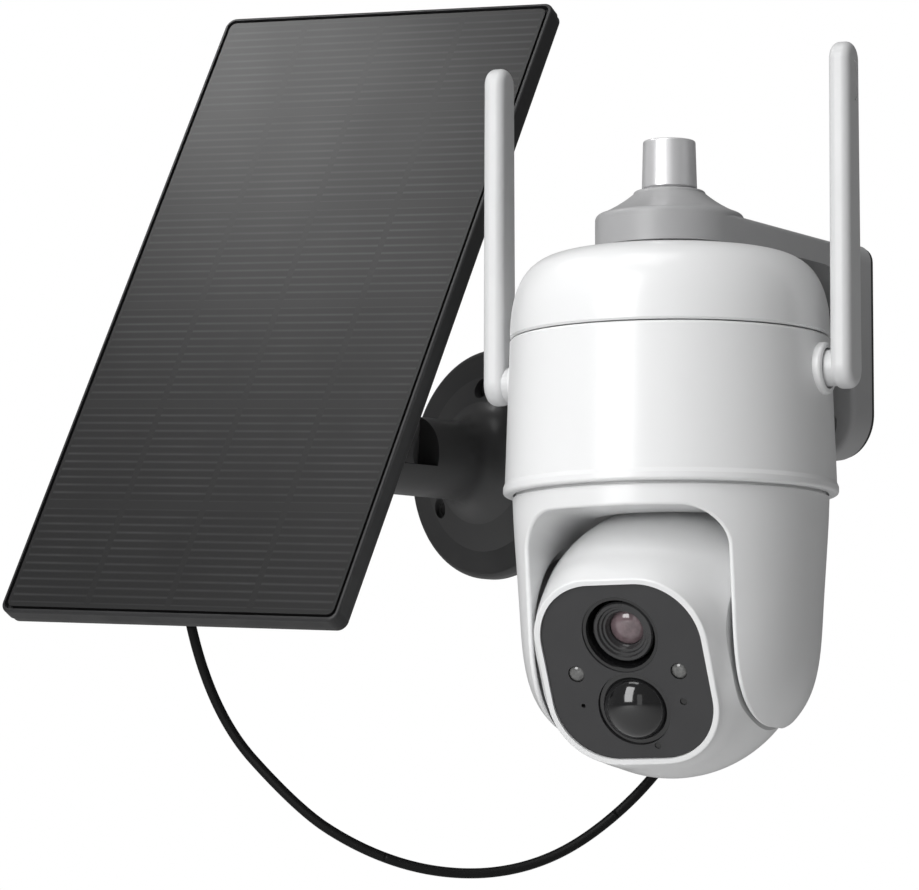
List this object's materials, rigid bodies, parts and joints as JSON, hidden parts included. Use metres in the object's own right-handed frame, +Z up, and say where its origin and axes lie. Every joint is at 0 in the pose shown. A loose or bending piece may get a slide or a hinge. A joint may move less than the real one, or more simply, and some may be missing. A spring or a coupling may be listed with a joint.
{
  "type": "solar powered security camera",
  "caption": "Wall-mounted pan and tilt security camera with a clamped bracket, swinging antennas, a motorised lens head and a hinged solar panel on its own wall arm.",
  "frame": {"origin": "centre of the back face of the camera bracket's wall plate, on the wall", "axes": "+Z up, +Y into the wall, so the camera and the panel stand out towards -Y; X runs along the wall"},
  "size_m": [0.2244, 0.1563, 0.2538],
  "materials": {
    "white_shell": "gloss",
    "bracket_grey": "satin",
    "knob_metal": "satin",
    "steel_hardware": "satin",
    "brass_insert": "satin",
    "rubber_seal": "matt",
    "chassis_plastic": "matt",
    "button_grey": "matt",
    "board_green": "matt",
    "cell_wrap": "gloss",
    "motor_metal": "satin",
    "face_dark": "satin",
    "lens_black": "gloss",
    "lens_clear": "gloss",
    "pir_black": "gloss",
    "led_white": "gloss",
    "arm_black": "matt",
    "panel_glass_clear": "gloss",
    "cell_dark": "satin",
    "cable_black": "matt"
  },
  "bodies": {
    "mount_side": {"wall_bracket": "bracket_grey", "bracket_gasket": "rubber_seal", "knob_washer": "steel_hardware", "solar_base": "arm_black", "base_gasket": "rubber_seal", "pan_bolt": "steel_hardware", "cable_middle": "cable_black"},
    "clamp": {"clamp_knob": "knob_metal", "clamp_stud": "steel_hardware"},
    "housing": {"top_cap": "white_shell", "threaded_insert": "brass_insert", "cap_seal": "rubber_seal", "swivel_pad": "rubber_seal", "housing_shell": "white_shell", "inner_chassis": "chassis_plastic", "pan_bearing": "chassis_plastic", "battery_cells": "cell_wrap", "battery_holder": "chassis_plastic", "main_board": "board_green", "wifi_module": "board_green", "speaker": "motor_metal", "pan_motor": "motor_metal", "charge_socket": "chassis_plastic", "cable_plug": "cable_black", "cable_camera_end": "cable_black"},
    "power_button": {"power_button": "button_grey"},
    "reset_button": {"reset_button": "button_grey"},
    "antenna_left": {"antenna_left": "white_shell"},
    "antenna_right": {"antenna_right": "white_shell"},
    "yoke": {"yoke_shell": "white_shell", "pan_shaft": "chassis_plastic", "tilt_motor": "motor_metal", "tilt_pins": "steel_hardware"},
    "head": {"head_front_shell": "white_shell", "head_rear_shell": "white_shell", "card_cover": "white_shell", "face_panel": "face_dark", "lens_bezel": "lens_black", "lens_barrel": "lens_black", "lens_glass": "lens_clear", "pir_dome": "pir_black", "pir_sensor": "motor_metal", "spotlight_leds": "led_white", "light_sensor": "pir_black", "microphone": "face_dark", "status_light": "face_dark", "sensor_board": "board_green", "image_sensor": "lens_black"},
    "link": {"swivel_link": "arm_black"},
    "panel": {"tilt_bolt": "steel_hardware", "panel_bracket": "arm_black", "bracket_screws": "steel_hardware", "panel_frame": "arm_black", "panel_glass": "panel_glass_clear", "cell_laminate": "cell_dark", "panel_back": "arm_black", "junction_box": "arm_black", "cable_gland": "arm_black", "cable_panel_end": "cable_black"}
  },
  "joints": [
    {"name": "knob_turn", "type": "hinge", "parent": "mount_side", "child": "clamp", "pos_m": [0, -0.0575, 0], "axis": [0, 0, 1], "continuous": true},
    {"name": "housing_swivel", "type": "hinge", "parent": "mount_side", "child": "housing", "pos_m": [0, -0.0575, 0], "axis": [0, 0, 1], "range_deg": [-40, 10], "deforming": ["cable_camera_end", "cable_middle"]},
    {"name": "antenna_left_swing", "type": "hinge", "parent": "housing", "child": "antenna_left", "pos_m": [-0.04623, -0.07655, -0.0099], "axis": [0.9245, 0.3811, 0], "range_deg": [-20, 90]},
    {"name": "antenna_right_swing", "type": "hinge", "parent": "housing", "child": "antenna_right", "pos_m": [0.04623, -0.03845, -0.0099], "axis": [0.9245, 0.3811, 0], "range_deg": [-20, 90]},
    {"name": "power_press", "type": "slide", "parent": "housing", "child": "power_button", "axis": [0.1276, -0.9918, 0], "range_m": [0, 0.001], "stiffness_N_per_m": 400},
    {"name": "reset_press", "type": "slide", "parent": "housing", "child": "reset_button", "axis": [0.6083, -0.7937, 0], "range_m": [0, 0.001], "stiffness_N_per_m": 400},
    {"name": "yoke_pan", "type": "hinge", "parent": "housing", "child": "yoke", "pos_m": [0, -0.0575, 0], "axis": [0, 0, 1], "range_deg": [-170, 170]},
    {"name": "head_tilt", "type": "hinge", "parent": "yoke", "child": "head", "pos_m": [0, -0.0575, -0.0809], "axis": [0.9342, 0.3567, 0], "range_deg": [-18, 60]},
    {"name": "solar_pan", "type": "hinge", "parent": "mount_side", "child": "link", "pos_m": [-0.1245, -0.05, -0.0202], "axis": [0.0656, 0, 0.9978], "range_deg": [-45, 5], "deforming": ["cable_middle"]},
    {"name": "solar_tilt", "type": "hinge", "parent": "link", "child": "panel", "pos_m": [-0.11659, -0.08276, -0.02072], "axis": [-0.9699, -0.2351, 0.0637], "range_deg": [-30, 12], "deforming": ["cable_panel_end", "cable_middle"]}
  ]
}
